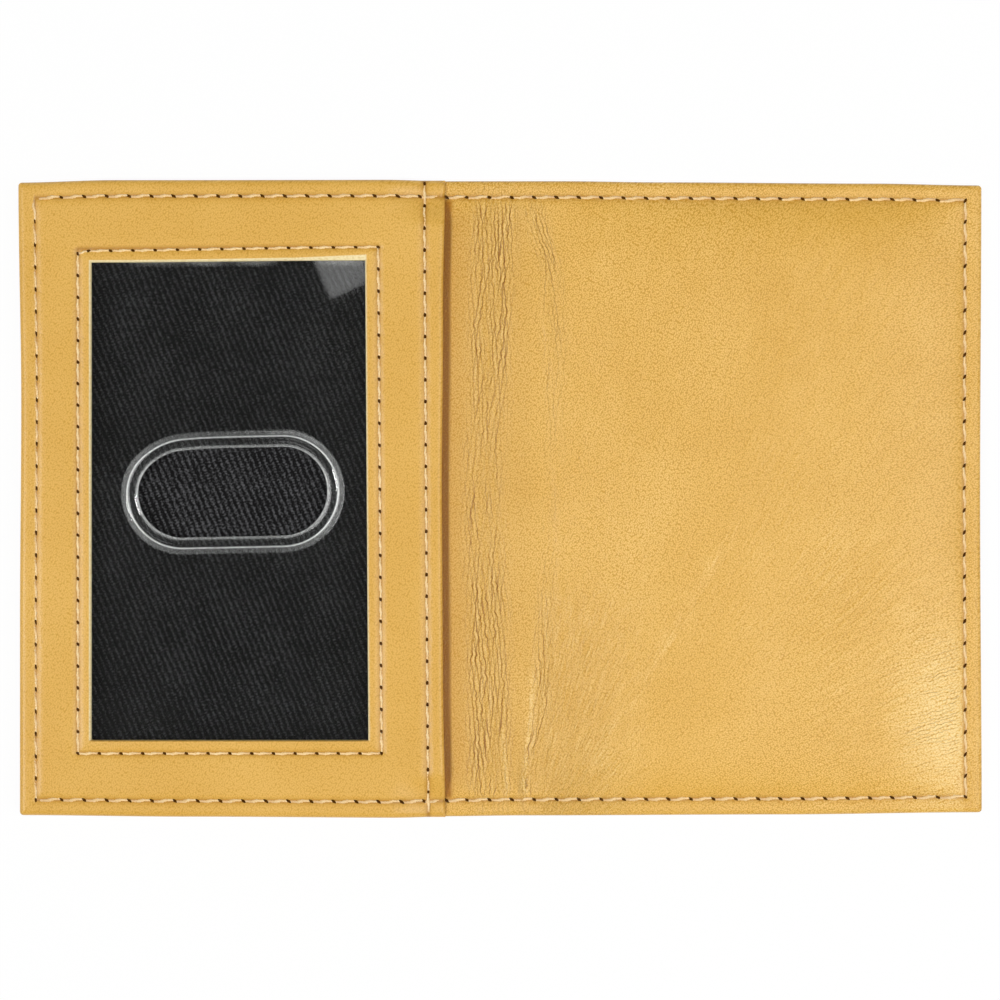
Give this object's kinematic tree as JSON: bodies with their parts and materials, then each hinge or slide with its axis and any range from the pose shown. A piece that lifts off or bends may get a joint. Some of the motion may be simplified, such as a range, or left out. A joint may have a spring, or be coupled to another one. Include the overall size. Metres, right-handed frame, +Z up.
{
  "type": "id badge wallet",
  "caption": "Leather bifold that opens flat: a stitched card pocket with a clear window and thumb slot on one half, and a plain padded panel for a badge on the other.",
  "frame": {"origin": "under the middle of the spine, on the surface that the open wallet lies on", "axes": "+X across the fold from the card pocket to the badge panel, +Y along the fold towards the top edge, +Z up out of the inside face"},
  "size_m": [0.154, 0.1016, 0.0045],
  "materials": {
    "tan_leather": "smooth, fine grain",
    "black_twill": "cotton twill",
    "clear_vinyl": "clear, glossy",
    "stiffener_board": "pressed fibre",
    "foam_pad": "soft open foam",
    "cream_thread": "twisted, waxed"
  },
  "bodies": {
    "id_half": {"id_outer_cover": "tan_leather", "id_stiffener": "stiffener_board", "id_pocket_lining": "black_twill", "id_window_film": "clear_vinyl", "id_frame": "tan_leather", "id_frame_turned_edge": "tan_leather", "fold_leather_id_side": "tan_leather", "window_stitching": "cream_thread", "window_bobbin_stitching": "cream_thread", "mouth_stitching": "cream_thread", "mouth_bobbin_stitching": "cream_thread", "id_edge_stitching": "cream_thread", "id_edge_bobbin_stitching": "cream_thread"},
    "spine": {"spine_outer_cover": "tan_leather", "spine_inner_leather": "tan_leather", "spine_edge_stitching": "cream_thread", "spine_edge_bobbin_stitching": "cream_thread"},
    "badge_half": {"badge_outer_cover": "tan_leather", "badge_stiffener": "stiffener_board", "badge_pad": "foam_pad", "badge_panel": "tan_leather", "badge_edge_stitching": "cream_thread", "badge_edge_bobbin_stitching": "cream_thread"}
  },
  "joints": [
    {"name": "spine_fold", "type": "hinge", "parent": "id_half", "child": "spine", "pos_m": [-0.0036, 0, 0.0009], "axis": [0, -1, 0], "range_deg": [0, 90]},
    {"name": "badge_fold", "type": "hinge", "parent": "spine", "child": "badge_half", "pos_m": [0.0036, 0, 0.0009], "axis": [0, -1, 0], "range_deg": [0, 90]}
  ]
}
